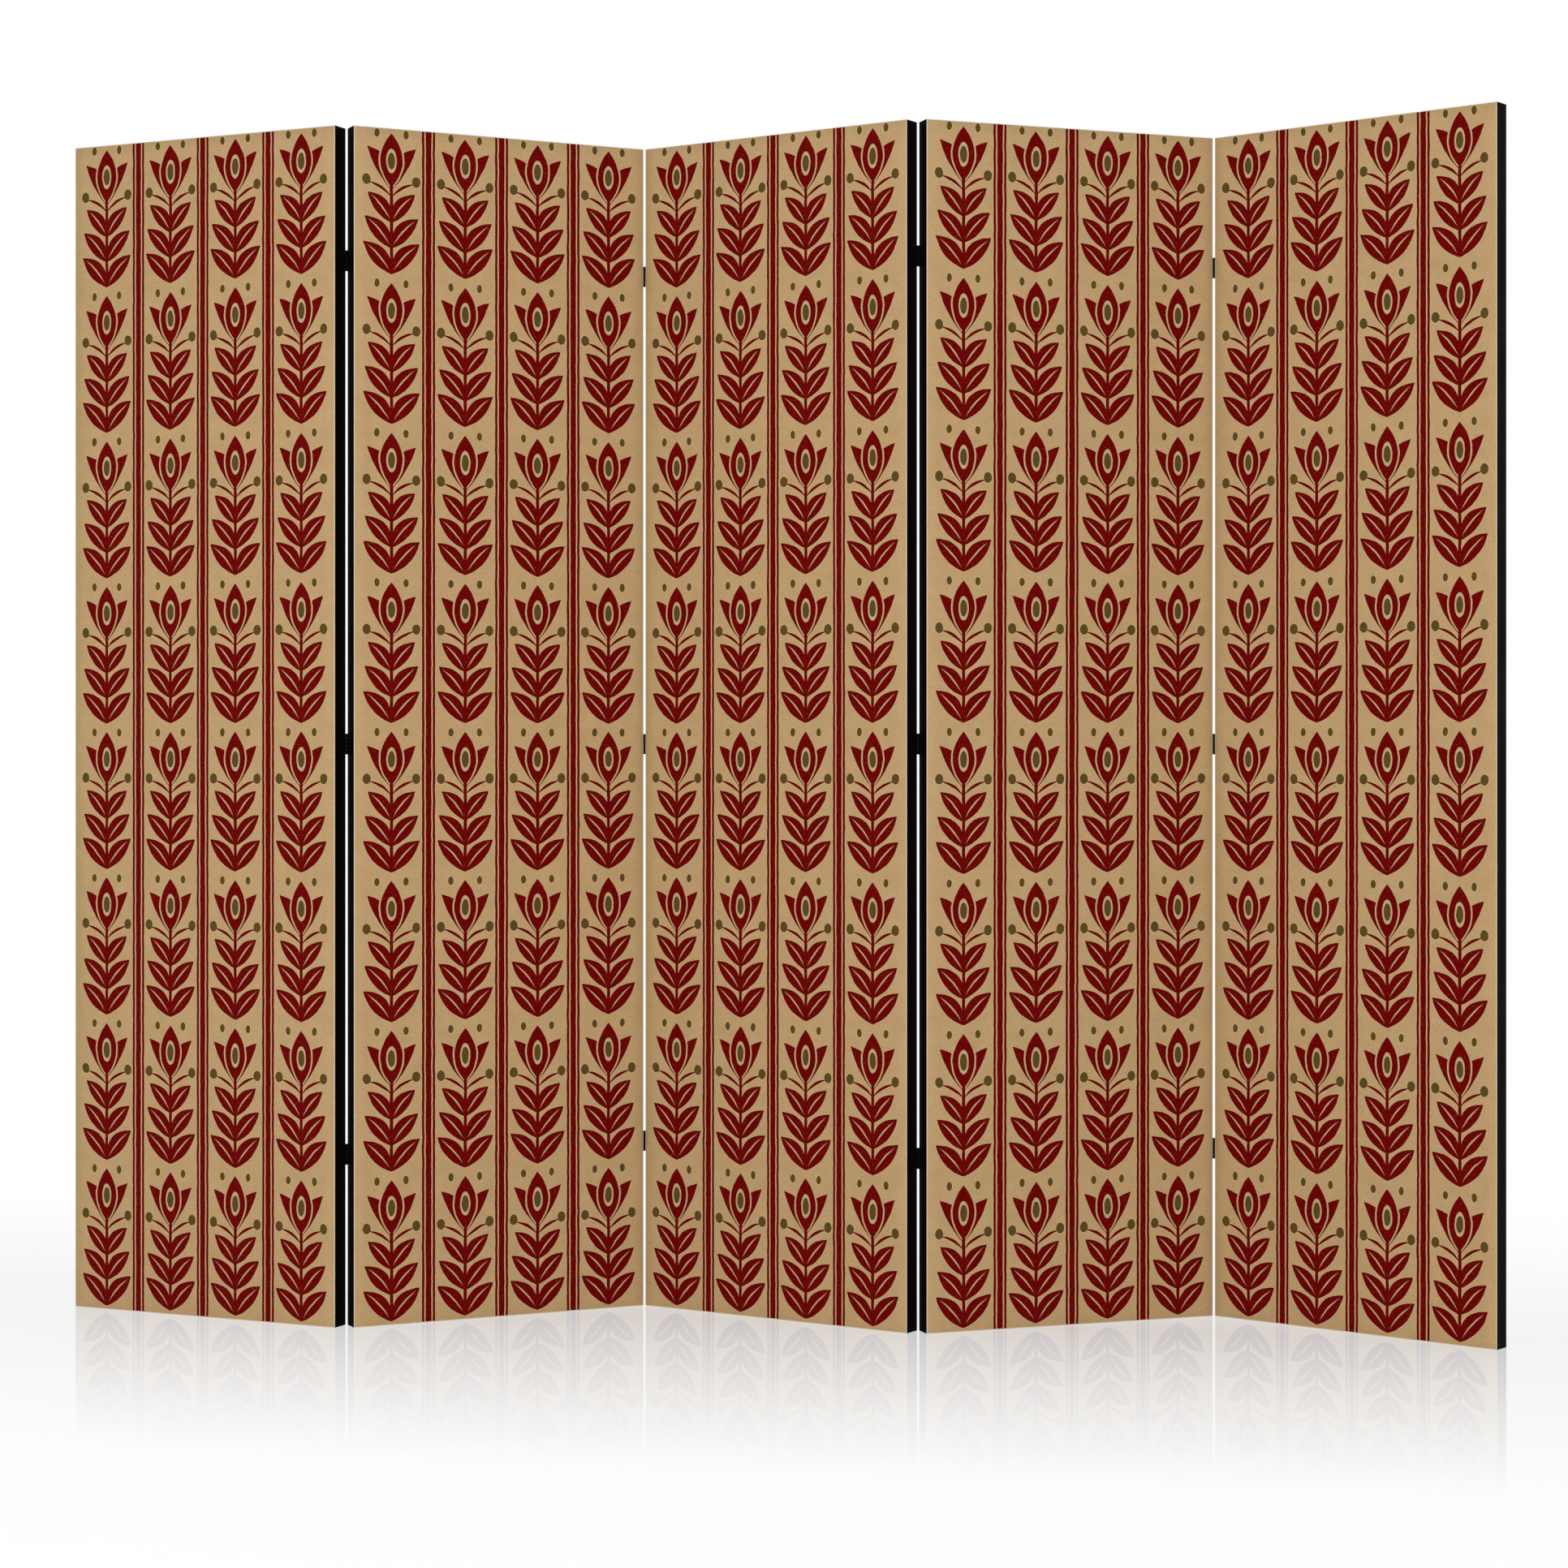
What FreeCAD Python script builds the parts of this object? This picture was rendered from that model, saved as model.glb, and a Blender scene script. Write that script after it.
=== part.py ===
"""A five-panel folding screen: printed canvas on timber frames, joined by small butt hinges.

Every panel is drawn in its own frame: X runs along its width from its left end, Y from its printed front to
its back, and Z up from the floor. The panels are then chained pin to pin from the middle one, in a zigzag.
A ridge seam stands towards the viewer and has its pins behind the panels. A valley seam stands away from the
viewer and has its pins in front of them.
"""
import FreeCAD, Part
import os
import re

# Driving dimensions in millimetres, and fold angles in degrees away from a flat row
DRIVING = {
    "panel_width": 450,
    "panel_height": 1720,
    "canvas_thickness": 0.8,
    "bar_depth": 28.5,
    "backing_thickness": 0.7,
    "backing_inset": 5,
    "stile_width": 40,
    "rail_height": 40,
    "middle_rail_rise": 860,
    "arris": 0.3,
    "tenon_length": 20,
    "tenon_thickness": 8,
    "tenon_shoulder": 6,
    "glue_gap": 0.1,
    "pin_radius": 0.85,
    "pin_clearance": 0.05,
    "leaf_height": 30,
    "leaf_depth": 18,
    "leaf_thickness": 0.7,
    "leaf_clearance": 0.3,
    "knuckle_gap": 0.3,
    "knuckle_dip": 0.05,
    "top_hinge_drop": 190,
    "middle_hinge_drop": 885,
    "bottom_hinge_rise": 245,
    "screw_setback": 10.5,
    "screw_spread": 17,
    "screw_head_radius": 2.4,
    "screw_shank_radius": 1.25,
    "screw_length": 14,
    "staple_wire": 0.6,
    "staple_crown": 10,
    "staple_leg": 6,
    "staple_inset": 14,
    "staple_end": 30,
    "middle_panel_turn": 22.2,
    "fold_1_2": 50,
    "fold_2_3": 58,
    "fold_3_4": 52,
    "fold_4_5": 58,
}

# Counts of what repeats
PANEL_COUNT = 5
KNUCKLE_COUNT = 5
STAPLES_PER_STILE_COUNT = 12
STAPLES_PER_RAIL_COUNT = 4

# Places that several pieces share, as expressions of the driving dimensions
FRAME_BACK = "(canvas_thickness + bar_depth)"
PANEL_DEPTH = "(canvas_thickness + bar_depth + backing_thickness)"
SEAM_GAP = "(2 * leaf_thickness + leaf_clearance)"
KNUCKLE_RADIUS = "(pin_radius + pin_clearance + leaf_thickness)"
PIN_OFFSET = f"({KNUCKLE_RADIUS} - knuckle_dip)"
KNUCKLE_PITCH = f"(leaf_height / {KNUCKLE_COUNT})"
TENON_Y = "(canvas_thickness + (bar_depth - tenon_thickness) / 2)"
TENON_HEIGHT = "(rail_height - 2 * tenon_shoulder)"
RAIL_LOW = {
    "top": "(panel_height - rail_height)",
    "middle": "(middle_rail_rise - rail_height / 2)",
    "bottom": "0",
}
HINGE_HEIGHTS = {
    "top": "panel_height - top_hinge_drop",
    "middle": "panel_height - middle_hinge_drop",
    "bottom": "bottom_hinge_rise",
}

doc = FreeCAD.newDocument("folding_screen")
size_word = re.compile(r"\b(" + "|".join(DRIVING) + r")\b")
nodes = []


def fill_sheet():
    """Writes the driving dimensions to a sheet, one aliased cell each."""
    sheet = doc.addObject("Spreadsheet::Sheet", "sizes")
    for row, (alias, value) in enumerate(DRIVING.items(), start=1):
        sheet.set(f"A{row}", alias)
        sheet.set(f"B{row}", str(value))
        sheet.setAlias(f"B{row}", alias)
    doc.recompute()


def bind(piece, sizes):
    """Binds properties to expressions in which each driving dimension is a cell of the sheet."""
    for prop, expression in sizes.items():
        piece.setExpression(prop, size_word.sub(r"sizes.\1", expression))


def place(piece, corner):
    """Binds a piece's position in its panel."""
    x, y, z = corner
    bind(piece, {"Placement.Base.x": x, "Placement.Base.y": y, "Placement.Base.z": z})


def block(name, corner, size):
    """A square-edged block, from its low corner."""
    piece = doc.addObject("Part::Box", name)
    length, width, height = size
    bind(piece, {"Length": length, "Width": width, "Height": height})
    place(piece, corner)
    return piece


def upright_rod(name, centre, radius, height):
    """A round rod standing on its centre point."""
    piece = doc.addObject("Part::Cylinder", name)
    bind(piece, {"Radius": radius, "Height": height})
    place(piece, centre)
    return piece


def union(name, pieces):
    """One solid from pieces that touch or overlap."""
    fused = doc.addObject("Part::MultiFuse", name)
    fused.Shapes = pieces
    fused.Refine = True
    return fused


def group(name, pieces):
    """Separate solids kept together."""
    together = doc.addObject("Part::Compound", name)
    together.Links = pieces
    return together


def cut(name, base, tools):
    """A piece with its holes and slots."""
    trimmed = doc.addObject("Part::Cut", name)
    trimmed.Base = base
    trimmed.Tool = group(f"{name}_tools", tools)
    return trimmed


def copy_at(name, pattern, corner):
    """A copy of a pattern piece at another place in the panel."""
    copy = group(name, [pattern])
    place(copy, corner)
    return copy


def bar(name, low, high, taper):
    """A frame bar whose marked back edges have a small arris.

    low and high are its corners in X and Z, and taper names the sides whose back edge is eased.
    """
    low_x, low_z = low
    high_x, high_z = high
    ease = {side: "arris" if side in taper else "0" for side in ("left", "right", "bottom", "top")}
    body = block(
        f"{name}_body",
        (low_x, "canvas_thickness", low_z),
        (f"{high_x} - {low_x}", "bar_depth - arris", f"{high_z} - {low_z}"),
    )
    back = doc.addObject("Part::Wedge", f"{name}_back")
    bind(back, {
        "Xmin": low_x,
        "Xmax": high_x,
        "Zmin": low_z,
        "Zmax": high_z,
        "Ymin": f"{FRAME_BACK} - arris",
        "Ymax": FRAME_BACK,
        "X2min": f"{low_x} + {ease['left']}",
        "X2max": f"{high_x} - {ease['right']}",
        "Z2min": f"{low_z} + {ease['bottom']}",
        "Z2max": f"{high_z} - {ease['top']}",
    })
    return union(f"{name}_bar", [body, back])


def staple(name, upright):
    """A wire staple with its crown on the cloth and its two legs pointing forward into the timber."""
    crown, wire, leg = "staple_crown", "staple_wire", "staple_leg"
    inside = f"{crown} - 2 * {wire}"
    if upright:
        outer_corner = (f"-{wire} / 2", f"{PANEL_DEPTH} - {leg}", f"-{crown} / 2")
        outer_size = (wire, f"{leg} + {wire}", crown)
        inner_corner = (f"-{wire} / 2", f"{PANEL_DEPTH} - {leg}", f"-({inside}) / 2")
        inner_size = (wire, leg, inside)
    else:
        outer_corner = (f"-{crown} / 2", f"{PANEL_DEPTH} - {leg}", f"-{wire} / 2")
        outer_size = (crown, f"{leg} + {wire}", wire)
        inner_corner = (f"-({inside}) / 2", f"{PANEL_DEPTH} - {leg}", f"-{wire} / 2")
        inner_size = (inside, leg, wire)
    outer = block(f"{name}_outer", outer_corner, outer_size)
    inner = block(f"{name}_inner", inner_corner, inner_size)
    return cut(name, outer, [inner])


def stile_staples(side):
    """The column of staples along one stile."""
    pattern = staple(f"{side}_stile_staple", upright=True)
    x = "staple_inset" if side == "left" else "panel_width - staple_inset"
    pitch = f"(panel_height - 2 * staple_end) / {STAPLES_PER_STILE_COUNT - 1}"
    copies = [
        copy_at(f"{side}_stile_staple_{count}", pattern, (x, "0", f"staple_end + {count} * {pitch}"))
        for count in range(STAPLES_PER_STILE_COUNT)
    ]
    return group(f"{side}_stile_staples", copies)


def rail_staples(end):
    """The row of staples along the top or the bottom rail."""
    pattern = staple(f"{end}_rail_staple", upright=False)
    z = "staple_inset" if end == "bottom" else "panel_height - staple_inset"
    pitch = f"(panel_width - 2 * stile_width) / {STAPLES_PER_RAIL_COUNT}"
    copies = [
        copy_at(f"{end}_rail_staple_{count}", pattern, (f"stile_width + ({count} + 1 / 2) * {pitch}", "0", z))
        for count in range(STAPLES_PER_RAIL_COUNT)
    ]
    return group(f"{end}_rail_staples", copies)


def rail(level, staples):
    """A rail between the stiles, with a stub tenon at each end."""
    low_z = RAIL_LOW[level]
    eased = [level] if level in ("top", "bottom") else []
    body = bar(
        f"{level}_rail",
        ("stile_width", low_z),
        ("(panel_width - stile_width)", f"({low_z} + rail_height)"),
        eased,
    )
    tenon = block(
        f"{level}_rail_tenons",
        ("stile_width - tenon_length", TENON_Y, f"{low_z} + tenon_shoulder"),
        ("panel_width - 2 * stile_width + 2 * tenon_length", "tenon_thickness", TENON_HEIGHT),
    )
    whole = union(f"{level}_rail_whole", [body, tenon])
    if staples is None:
        return whole
    return cut(f"{level}_rail_pattern", whole, [staples])


def mortise(side, level):
    """The pocket that a rail's tenon is glued into, cut in a stile's inner face."""
    x = "stile_width - tenon_length - glue_gap" if side == "left" else "panel_width - stile_width"
    return block(
        f"{side}_{level}_mortise",
        (x, f"{TENON_Y} - glue_gap", f"{RAIL_LOW[level]} + tenon_shoulder - glue_gap"),
        ("tenon_length + glue_gap", "tenon_thickness + 2 * glue_gap", f"{TENON_HEIGHT} + 2 * glue_gap"),
    )


def stile(side, fold, staples, screws):
    """A full-height stile with its mortises, staple slots and, at a seam, its screw holes."""
    name = f"{fold}_{side}_stile"
    low_x, high_x = ("0", "stile_width") if side == "left" else ("(panel_width - stile_width)", "panel_width")
    body = bar(name, (low_x, "0"), (high_x, "panel_height"), [side, "top", "bottom"])
    tools = [mortise(side, level) for level in RAIL_LOW]
    tools.append(staples)
    if screws is not None:
        tools.append(screws)
    return cut(f"{name}_pattern", body, tools)


def pin_axis(side, fold):
    """Where the hinge pins stand in X and Y, at one end of a panel."""
    x = f"-{SEAM_GAP} / 2" if side == "left" else f"(panel_width + {SEAM_GAP} / 2)"
    y = f"({FRAME_BACK} + {PIN_OFFSET})" if fold == "ridge" else f"-{PIN_OFFSET}"
    return x, y


def into_panel(fold):
    """The sign of the way along Y that a hinge leaf runs from its pin."""
    return "-" if fold == "ridge" else "+"


def screw(name, side, fold, level):
    """A countersunk screw, its head flush with the leaf and its shank in the stile."""
    head = doc.addObject("Part::Cone", f"{name}_head")
    bind(head, {
        "Radius1": "screw_head_radius",
        "Radius2": "screw_shank_radius",
        "Height": "screw_head_radius - screw_shank_radius",
    })
    shank = upright_rod(f"{name}_shank", ("0", "0", "0"), "screw_shank_radius", "screw_length")
    whole = union(name, [head, shank])
    quarter_turn = 90 if side == "left" else -90
    whole.Placement.Rotation = FreeCAD.Rotation(FreeCAD.Vector(0, 1, 0), quarter_turn)
    x = "-leaf_thickness" if side == "left" else "panel_width + leaf_thickness"
    pin_y = pin_axis(side, fold)[1]
    place(whole, (x, f"{pin_y} {into_panel(fold)} screw_setback", f"{level} * screw_spread / 2"))
    return whole


def knuckle_low(slot):
    """The height of the bottom of a knuckle's slot, from the middle of the hinge."""
    return f"-leaf_height / 2 + {slot} * {KNUCKLE_PITCH}"


def leaf(side, fold, screws):
    """One hinge leaf: a plate on the stile's end face, with knuckles round the pin.

    The leaf on the left panel's right end has the odd knuckles, and the leaf across the seam the even ones.
    Each is cut clear of the other's knuckles.
    """
    name = f"{fold}_{side}_leaf"
    pin_x, pin_y = pin_axis(side, fold)
    plate_x = "-leaf_thickness" if side == "left" else "panel_width"
    plate_y = f"{pin_y} - leaf_depth" if fold == "ridge" else pin_y
    plate = block(
        f"{name}_plate",
        (plate_x, plate_y, "-leaf_height / 2"),
        ("leaf_thickness", "leaf_depth", "leaf_height"),
    )
    first_own = 1 if side == "left" else 0
    knuckles = [
        upright_rod(
            f"{name}_knuckle_{slot}",
            (pin_x, pin_y, f"{knuckle_low(slot)} + knuckle_gap / 2"),
            KNUCKLE_RADIUS,
            f"{KNUCKLE_PITCH} - knuckle_gap",
        )
        for slot in range(first_own, KNUCKLE_COUNT, 2)
    ]
    clearances = [
        upright_rod(
            f"{name}_clearance_{slot}",
            (pin_x, pin_y, f"{knuckle_low(slot)} - knuckle_gap / 2"),
            f"{KNUCKLE_RADIUS} + knuckle_gap",
            f"{KNUCKLE_PITCH} + knuckle_gap",
        )
        for slot in range(1 - first_own, KNUCKLE_COUNT, 2)
    ]
    bore = upright_rod(
        f"{name}_bore",
        (pin_x, pin_y, "-leaf_height / 2"),
        "pin_radius + pin_clearance",
        "leaf_height",
    )
    rolled = union(f"{name}_rolled", [plate] + knuckles)
    barrel_cut = union(f"{name}_barrel_cut", [bore] + clearances)
    return cut(name, rolled, [barrel_cut] + screws)


def at_hinges(name, pieces):
    """Copies of a hinge's pieces at the three hinge heights."""
    pattern = group(f"{name}_pattern", pieces)
    copies = [
        copy_at(f"{name}_{level}", pattern, ("0", "0", height))
        for level, height in HINGE_HEIGHTS.items()
    ]
    return group(f"{name}_all", copies)


def panel_end(side, fold):
    """The hinge leaves and screws at one end of a panel, for one kind of seam."""
    screws = [screw(f"{fold}_{side}_screw_{name}", side, fold, level) for name, level in (("low", -1), ("high", 1))]
    leaves = at_hinges(f"{fold}_{side}_leaves", [leaf(side, fold, screws)])
    return {"leaves": leaves, "screws": at_hinges(f"{fold}_{side}_screws", screws)}


def seam_pins(fold):
    """The three pins of a seam, in the frame of the panel on its left."""
    x, y = pin_axis("right", fold)
    pin = upright_rod(f"{fold}_pin", (x, y, "-leaf_height / 2"), "pin_radius", "leaf_height")
    return at_hinges(f"{fold}_pins", [pin])


def seam_fold(left_panel):
    """The kind of seam on a panel's right: ridges and valleys take turns, from a ridge after the first panel."""
    return "ridge" if left_panel % 2 else "valley"


def chain_panels():
    """Gives every panel its place, pin to pin from the middle one."""
    for panel in range(1, PANEL_COUNT + 1):
        doc.addObject("App::Placement", f"panel_{panel}")
    middle_number = (PANEL_COUNT + 1) // 2
    middle = doc.getObject(f"panel_{middle_number}")
    middle.Placement.Rotation = FreeCAD.Rotation(FreeCAD.Vector(0, 0, 1), 0)
    bind(middle, {"Placement.Rotation.Angle": "-middle_panel_turn"})
    for panel in range(middle_number - 1, 0, -1):
        chain_panel(panel, panel + 1)
    for panel in range(middle_number + 1, PANEL_COUNT + 1):
        chain_panel(panel, panel - 1)
    return middle


def chain_panel(panel, neighbour):
    """Hangs a panel on its neighbour's pins, turned by the fold of their seam."""
    left_panel = min(panel, neighbour)
    fold = seam_fold(left_panel)
    side, own_side = ("left", "right") if panel < neighbour else ("right", "left")
    sign = "+" if (fold == "ridge") == (side == "right") else "-"
    turn = f"{sign}fold_{left_panel}_{left_panel + 1}"
    neighbour_x, neighbour_y = pin_axis(side, fold)
    own_x, own_y = pin_axis(own_side, fold)
    to_pin = f"placement(vector({neighbour_x}; {neighbour_y}; 0); rotation(vector(0; 0; 1); {turn}))"
    from_pin = f"placement(vector(-({own_x}); -({own_y}); 0); rotation(vector(0; 0; 1); 0))"
    bind(doc.getObject(f"panel_{panel}"), {"Placement": f"panel_{neighbour}.Placement * {to_pin} * {from_pin}"})


def node(label, pieces, panel):
    """One named piece of the screen, standing where its panel stands."""
    piece = group(label, pieces)
    piece.Label = label
    bind(piece, {"Placement": f"panel_{panel}.Placement"})
    nodes.append(piece)


def build_panels():
    """Makes the pieces of the five panels."""
    staples = {side: stile_staples(side) for side in ("left", "right")}
    staples.update({end: rail_staples(end) for end in ("top", "bottom")})
    rails = {level: rail(level, staples.get(level)) for level in RAIL_LOW}
    canvas = block("canvas_pattern", ("0", "0", "0"), ("panel_width", "canvas_thickness", "panel_height"))
    cloth_whole = block(
        "cloth_whole",
        ("backing_inset", FRAME_BACK, "backing_inset"),
        ("panel_width - 2 * backing_inset", "backing_thickness", "panel_height - 2 * backing_inset"),
    )
    cloth = cut("cloth_pattern", cloth_whole, list(staples.values()))
    ends = {(side, fold): panel_end(side, fold) for side in ("left", "right") for fold in ("ridge", "valley")}
    stiles = {("left", None): stile("left", "free", staples["left"], None)}
    stiles[("right", None)] = stile("right", "free", staples["right"], None)
    for (side, fold), end in ends.items():
        stiles[(side, fold)] = stile(side, fold, staples[side], end["screws"])

    for panel in range(1, PANEL_COUNT + 1):
        folds = {
            "left": seam_fold(panel - 1) if panel > 1 else None,
            "right": seam_fold(panel) if panel < PANEL_COUNT else None,
        }
        for side, fold in folds.items():
            node(f"panel_{panel}_{side}_stile", [stiles[(side, fold)]], panel)
        for level, pattern in rails.items():
            node(f"panel_{panel}_{level}_rail", [pattern], panel)
        node(f"panel_{panel}_front_canvas", [canvas], panel)
        node(f"panel_{panel}_back_cloth", [cloth], panel)
        node(f"panel_{panel}_back_staples", list(staples.values()), panel)
        screws = [ends[(side, fold)]["screws"] for side, fold in folds.items() if fold]
        node(f"panel_{panel}_hinge_screws", screws, panel)
    return ends


def build_seams(ends):
    """Makes the hinges of the four seams."""
    pins = {fold: seam_pins(fold) for fold in ("ridge", "valley")}
    for panel in range(1, PANEL_COUNT):
        fold = seam_fold(panel)
        seam = f"seam_{panel}_{panel + 1}"
        node(f"{seam}_left_leaves", [ends[("right", fold)]["leaves"]], panel)
        node(f"{seam}_right_leaves", [ends[("left", fold)]["leaves"]], panel + 1)
        node(f"{seam}_pins", [pins[fold]], panel)


def centre_on_floor(middle):
    """Moves the screen so that its box stands on the floor with its middle over the origin."""
    doc.recompute()
    whole = FreeCAD.BoundBox()
    for piece in nodes:
        whole.add(piece.Shape.optimalBoundingBox())
    centre = whole.Center
    middle.Placement.Base = middle.Placement.Base - FreeCAD.Vector(centre.x, centre.y, 0)
    doc.recompute()


def check_document():
    """Stops if any object failed or any piece has a bad shape."""
    for piece in doc.Objects:
        if "Invalid" in piece.State or "Error" in piece.State:
            raise RuntimeError(f"{piece.Name} failed: {piece.State}")
    for piece in nodes:
        if piece.Shape.isNull() or not piece.Shape.isValid():
            raise RuntimeError(f"{piece.Label} has no valid shape")


def write_parts():
    """Writes each piece to its own file, as its separate solids."""
    os.makedirs("parts", exist_ok=True)
    for piece in nodes:
        Part.makeCompound(piece.Shape.Solids).exportStep(f"parts/{piece.Label}.step")
        print(f"{piece.Label}: {len(piece.Shape.Solids)} solids, {piece.Shape.Volume:.0f} mm3")


fill_sheet()
middle_panel = chain_panels()
build_seams(build_panels())
centre_on_floor(middle_panel)
check_document()
write_parts()
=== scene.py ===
"""Looks of a five-panel folding screen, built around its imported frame.

Each panel is a black timber frame with a printed canvas bonded to its front and a black cloth stapled to
its back. Small black butt hinges join the panels. Lengths are in metres, or in millimetres where a name
or a docstring says so.
"""
import logging
import math
from collections.abc import Iterator, Sequence
from dataclasses import dataclass, field
from enum import Enum

import bmesh
import bpy
from bmesh.types import BMesh, BMVert
from bpy.types import Material, Node, NodeSocket, NodeTree, Object
from mathutils import Color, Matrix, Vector
from mathutils.geometry import tessellate_polygon


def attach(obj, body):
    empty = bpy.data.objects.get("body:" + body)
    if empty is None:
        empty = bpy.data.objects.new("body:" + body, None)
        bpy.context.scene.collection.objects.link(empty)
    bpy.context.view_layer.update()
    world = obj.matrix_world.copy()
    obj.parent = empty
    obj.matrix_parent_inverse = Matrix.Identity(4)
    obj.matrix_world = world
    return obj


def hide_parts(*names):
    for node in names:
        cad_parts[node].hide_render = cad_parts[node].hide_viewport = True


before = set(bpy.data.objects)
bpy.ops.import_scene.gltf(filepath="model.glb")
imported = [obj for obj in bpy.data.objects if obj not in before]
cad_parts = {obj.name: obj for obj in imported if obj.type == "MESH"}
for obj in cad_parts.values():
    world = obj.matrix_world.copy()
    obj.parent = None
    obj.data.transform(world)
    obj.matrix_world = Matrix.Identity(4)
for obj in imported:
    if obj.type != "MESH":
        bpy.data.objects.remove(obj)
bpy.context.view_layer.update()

MM = 0.001
UP = Vector((0.0, 0.0, 1.0))
PANELS = range(1, 6)
SEAMS = ("1_2", "2_3", "3_4", "4_5")
RAILS = ("top_rail", "middle_rail", "bottom_rail")
STILES = ("left_stile", "right_stile")
PRINT_MAP = "panel_mm"
BAKE_MAP = "OFBake"
BAKE_SHOWN_HEIGHT = 0.96
BAKE_HIDDEN_LOW = 0.965
BAKE_HIDDEN_HEIGHT = 0.034
SAME_POINT = 0.01 * MM
SAME_PLANE = 0.02 * MM
GRAIN_ALONG = 11.0
GRAIN_ACROSS = 520.0
BARE_CANVAS = "D9C8B4"
CANVAS_PITCH = 0.6

Paint = str | NodeSocket

log = logging.getLogger("folding_screen")


def linear(code: str) -> tuple[float, float, float, float]:
    """Turns a screen colour of six hexadecimal digits into the linear one that shaders take."""
    screen = Color([byte / 255 for byte in bytes.fromhex(code)])
    return *screen.from_srgb_to_scene_linear(), 1.0


class Field:
    """A number that varies over a surface, kept as shader nodes and written with plain arithmetic."""

    def __init__(self, tree: NodeTree, socket: NodeSocket) -> None:
        """Wraps one output socket of a shader's tree."""
        self.tree = tree
        self.socket = socket

    def _math(self, operation: str, *operands: "Field | float") -> "Field":
        """Adds one Math node.

        Args:
            operation: The node's operation.
            operands: Its inputs in order, as fields or numbers.

        Returns:
            The node's result.
        """
        node = self.tree.nodes.new("ShaderNodeMath")
        node.operation = operation
        for socket, operand in zip(node.inputs, operands):
            if isinstance(operand, Field):
                self.tree.links.new(operand.socket, socket)
            else:
                socket.default_value = operand
        return Field(self.tree, node.outputs[0])

    def __add__(self, other: "Field | float") -> "Field":
        """Sum."""
        return self._math("ADD", self, other)

    def __sub__(self, other: "Field | float") -> "Field":
        """Difference."""
        return self._math("SUBTRACT", self, other)

    def __rsub__(self, other: float) -> "Field":
        """Difference from a number."""
        return self._math("SUBTRACT", other, self)

    def __mul__(self, other: "Field | float") -> "Field":
        """Product."""
        return self._math("MULTIPLY", self, other)

    def __abs__(self) -> "Field":
        """Size without sign."""
        return self._math("ABSOLUTE", self)

    def least(self, other: "Field | float") -> "Field":
        """The lower of two: either shape, where fields are outlines."""
        return self._math("MINIMUM", self, other)

    def most(self, other: "Field | float") -> "Field":
        """The higher of two: what two shapes share, where fields are outlines."""
        return self._math("MAXIMUM", self, other)

    def wrapped(self, period: float) -> "Field":
        """The remainder within a period, never below 0."""
        return self._math("FLOORED_MODULO", self, period)

    def sine(self) -> "Field":
        """The sine of an angle in radians."""
        return self._math("SINE", self)

    def root(self) -> "Field":
        """The square root."""
        return self._math("SQRT", self)

    def outside(self, low: float, high: float) -> "Field":
        """How far it lies outside a span, below 0 inside it."""
        return abs(self - (low + high) / 2) - (high - low) / 2

    def mixed(self, other: "Field", share: float) -> "Field":
        """This with some share of another in it."""
        return self * (1.0 - share) + other * share

    def ramp(self, start: float, end: float) -> "Field":
        """A straight ramp from 0 at one value to 1 at another, held beyond them.

        Args:
            start: The value that gives 0.
            end: The value that gives 1.

        Returns:
            The ramp.
        """
        node = self.tree.nodes.new("ShaderNodeMapRange")
        self.tree.links.new(self.socket, node.inputs["Value"])
        node.inputs["From Min"].default_value = start
        node.inputs["From Max"].default_value = end
        return Field(self.tree, node.outputs["Result"])


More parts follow.
